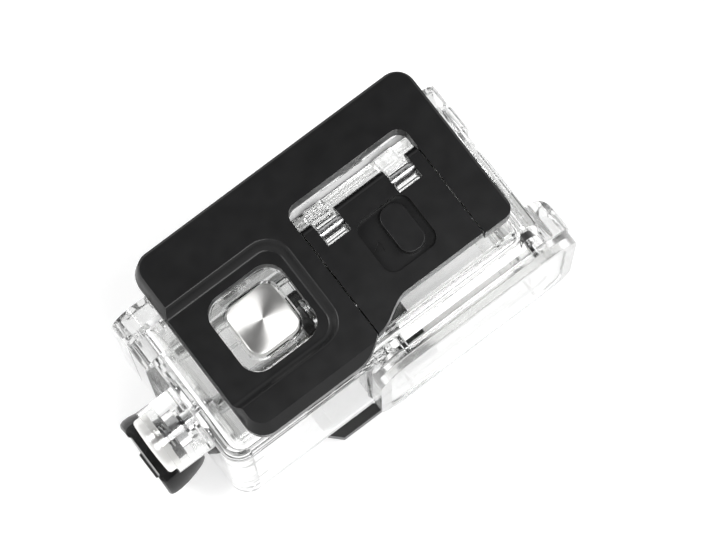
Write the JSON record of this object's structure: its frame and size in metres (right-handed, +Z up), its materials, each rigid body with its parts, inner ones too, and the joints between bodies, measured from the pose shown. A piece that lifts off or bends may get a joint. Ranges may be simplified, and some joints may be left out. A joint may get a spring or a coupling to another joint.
{
  "type": "action camera dive housing",
  "caption": "Clear waterproof housing for an action camera, with a draw latch on top, square lens port, hinged back door, two push buttons, and a quick-release buckle on a tilting thumb-screw mount.",
  "frame": {"origin": "on the buckle's flat underside, straight below the tilt pivot", "axes": "+X right as seen from the lens side, +Y towards the back door, +Z up from the buckle to the latch"},
  "size_m": [0.1096, 0.0559, 0.0932],
  "materials": {
    "clear_polycarbonate": "clear, polished",
    "clear_port_frame": "clear, lightly frosted",
    "port_glass": "optical, polished",
    "black_latch": "fine satin texture",
    "black_buckle": "satin",
    "black_knob": "semi-gloss",
    "spun_steel": "spun, with a round brush mark",
    "steel": "turned",
    "spring_steel": "drawn wire",
    "silicone_seal": "translucent white silicone",
    "black_rubber": "matte"
  },
  "bodies": {
    "buckle": {"buckle_body": "black_buckle", "mount_nut": "steel"},
    "thumb_screw": {"thumb_knob": "black_knob", "thumb_shaft": "steel"},
    "housing": {"front_shell": "clear_polycarbonate", "port_frame": "clear_port_frame", "port_glass": "port_glass", "port_seal": "silicone_seal", "port_screws": "steel", "latch_pin": "steel", "door_hinge_pins": "steel", "shutter_oring": "black_rubber", "side_oring": "black_rubber", "side_gland_bush": "steel", "shutter_spring": "spring_steel", "side_spring": "spring_steel"},
    "door": {"back_door": "clear_polycarbonate", "door_seal": "silicone_seal"},
    "lever": {"latch_lever": "black_latch", "lever_stub_pins": "steel", "lock_base_plate": "black_latch", "lock_spring": "spring_steel"},
    "latch": {"latch_frame": "black_latch"},
    "lock": {"lock_slider": "black_latch", "lock_tongue": "steel"},
    "shutter": {"shutter_cap": "spun_steel", "shutter_stem": "steel", "shutter_clip": "spring_steel"},
    "side_button": {"side_cap": "spun_steel", "side_stem": "steel", "side_clip": "spring_steel"}
  },
  "joints": [
    {"name": "thumb_screw_turn", "type": "hinge", "parent": "buckle", "child": "thumb_screw", "pos_m": [0, 0, 0.0135], "axis": [1, 0, 0], "continuous": true},
    {"name": "housing_tilt", "type": "hinge", "parent": "buckle", "child": "housing", "pos_m": [0, 0, 0.0135], "axis": [1, 0, 0], "range_deg": [-30, 30]},
    {"name": "door_swing", "type": "hinge", "parent": "housing", "child": "door", "pos_m": [0, 0.0185, 0.018], "axis": [-1, 0, 0], "range_deg": [0, 90]},
    {"name": "lever_lift", "type": "hinge", "parent": "housing", "child": "lever", "pos_m": [0.0165, 0.0068, 0.0898], "axis": [-1, 0, 0], "range_deg": [0, 70]},
    {"name": "latch_draw", "type": "hinge", "parent": "lever", "child": "latch", "pos_m": [0.0165, -0.0112, 0.0899], "axis": [-1, 0, 0], "range_deg": [-70, 0]},
    {"name": "lock_slide", "type": "slide", "parent": "lever", "child": "lock", "axis": [-1, 0, 0], "range_m": [0, 0.004], "stiffness_N_per_m": 60, "deforming": ["lock_spring"]},
    {"name": "shutter_press", "type": "slide", "parent": "housing", "child": "shutter", "axis": [0, 0, -1], "range_m": [0, 0.002], "stiffness_N_per_m": 400, "springref_m": -0.001, "deforming": ["shutter_spring"]},
    {"name": "side_press", "type": "slide", "parent": "housing", "child": "side_button", "axis": [1, 0, 0], "range_m": [0, 0.002], "stiffness_N_per_m": 400, "springref_m": -0.001, "deforming": ["side_spring"]}
  ],
  "couplings": [
    {"joint": "latch_draw", "follows": "lever_lift", "ratio": -1}
  ]
}
